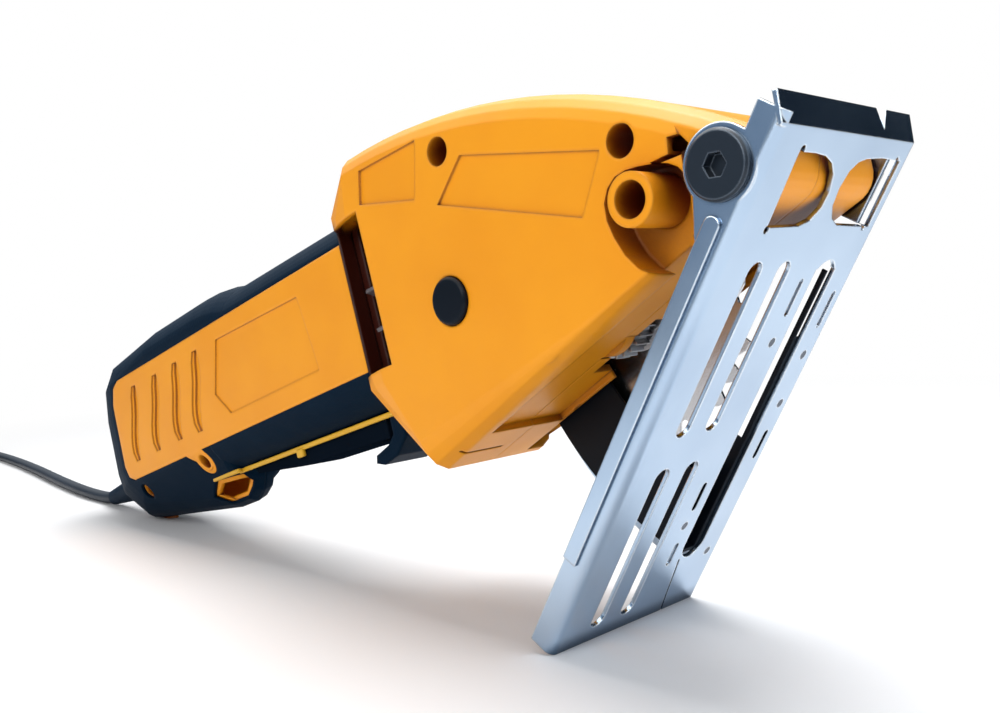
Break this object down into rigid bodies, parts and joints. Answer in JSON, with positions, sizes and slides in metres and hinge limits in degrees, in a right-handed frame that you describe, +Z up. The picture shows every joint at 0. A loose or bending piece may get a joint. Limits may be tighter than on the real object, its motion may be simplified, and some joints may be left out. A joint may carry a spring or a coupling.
{
  "type": "mini plunge circular saw",
  "caption": "Compact corded plunge circular saw with in-line motor grip, pressed steel base plate, hinged yellow body, dust port and spindle lock.",
  "frame": {"origin": "centre of the saw's footprint on the floor, cord left out", "axes": "+X towards the raised front of the base plate, +Y towards the blade side, +Z up; the saw stands as pictured on the base plate's rear edge and the handle's tail"},
  "size_m": [0.8771, 0.1216, 0.1759],
  "materials": {
    "zinc_plate": "bright zinc-plated sheet",
    "black_steel": "black oxide",
    "black_guard": "satin black",
    "plain_steel": "machined",
    "cast_plate": "as cast",
    "yellow_shell": "fine satin moulding",
    "black_rubber": "smooth",
    "black_plastic": "satin",
    "grey_plastic": "satin",
    "laminations": "stacked sheet",
    "copper_wire": "enamelled copper",
    "carbon": "pressed carbon",
    "blade_steel": "ground"
  },
  "bodies": {
    "saw_body": {"near_cover": "yellow_shell", "far_cover": "yellow_shell", "dust_tube": "yellow_shell", "bearing_plate": "cast_plate", "cover_screws": "black_steel", "plate_screws": "plain_steel", "nose_bush": "plain_steel", "plunge_spring": "plain_steel", "handle_near": "yellow_shell", "handle_far": "yellow_shell", "grip_near": "black_rubber", "grip_far": "black_rubber", "handle_screws": "black_steel", "finger_stop": "black_rubber", "stator": "laminations", "field_coils": "copper_wire", "brush_holders": "black_plastic", "carbon_brushes": "carbon", "brush_springs": "plain_steel", "motor_bearings": "plain_steel", "gear_bearings": "plain_steel", "idler_pin": "plain_steel", "switch": "black_plastic", "trigger_pin": "plain_steel", "trigger_spring": "plain_steel", "lock_spring": "plain_steel", "cord_clamp": "black_plastic", "strain_relief": "black_rubber", "power_cord": "black_rubber", "cord_coil": "black_rubber", "plug": "black_rubber"},
    "base": {"base_plate": "zinc_plate", "edge_strip": "zinc_plate", "blade_guard": "black_guard", "guard_rivets": "plain_steel", "pivot_bolt": "black_steel", "pivot_nut": "plain_steel", "depth_bracket": "zinc_plate"},
    "rotor": {"rotor_shaft": "plain_steel", "armature": "laminations", "windings": "copper_wire", "commutator": "copper_wire", "fan": "grey_plastic", "motor_pinion": "plain_steel"},
    "countershaft": {"countershaft": "plain_steel", "crown_gear": "plain_steel", "drive_pinion": "plain_steel"},
    "idler": {"idler_gear": "plain_steel"},
    "arbor": {"arbor": "plain_steel", "arbor_gear": "plain_steel", "inner_flange": "plain_steel", "saw_blade": "blade_steel", "outer_flange": "plain_steel", "blade_bolt": "black_steel"},
    "trigger": {"trigger": "black_plastic"},
    "lock_button": {"lock_button": "black_plastic"},
    "depth_knob": {"depth_knob": "black_plastic"}
  },
  "joints": [
    {"name": "plunge", "type": "hinge", "parent": "saw_body", "child": "base", "pos_m": [0.21435, -0.004, 0.14317], "axis": [0, 1, 0], "range_deg": [0, 27], "stiffness_Nm_per_rad": 0.9, "springref_deg": -51.57},
    {"name": "rotor_spin", "type": "hinge", "parent": "saw_body", "child": "rotor", "pos_m": [0.01828, -0.006, 0.10161], "axis": [0.9627, 0, 0.2704], "continuous": true},
    {"name": "countershaft_spin", "type": "hinge", "parent": "saw_body", "child": "countershaft", "pos_m": [0.11167, -0.01, 0.12784], "axis": [0, 1, 0], "continuous": true},
    {"name": "idler_spin", "type": "hinge", "parent": "saw_body", "child": "idler", "pos_m": [0.12306, 0.004, 0.1139], "axis": [0, 1, 0], "continuous": true},
    {"name": "arbor_spin", "type": "hinge", "parent": "saw_body", "child": "arbor", "pos_m": [0.14417, 0.01, 0.10248], "axis": [0, 1, 0], "continuous": true},
    {"name": "trigger_squeeze", "type": "hinge", "parent": "saw_body", "child": "trigger", "pos_m": [-0.05724, -0.006, 0.04508], "axis": [0, -1, 0], "range_deg": [0, 4], "stiffness_Nm_per_rad": 1, "springref_deg": -6.88},
    {"name": "spindle_lock", "type": "slide", "parent": "saw_body", "child": "lock_button", "axis": [0, 1, 0], "range_m": [0, 0.004], "stiffness_N_per_m": 800, "springref_m": -0.003},
    {"name": "depth_lock", "type": "hinge", "parent": "saw_body", "child": "depth_knob", "pos_m": [0.09346, 0.038, 0.07257], "axis": [0, 1, 0], "range_deg": [0, 120]}
  ],
  "couplings": [
    {"joint": "countershaft_spin", "follows": "rotor_spin", "ratio": -0.33333},
    {"joint": "idler_spin", "follows": "rotor_spin", "ratio": 0.16667},
    {"joint": "arbor_spin", "follows": "rotor_spin", "ratio": -0.16667}
  ]
}
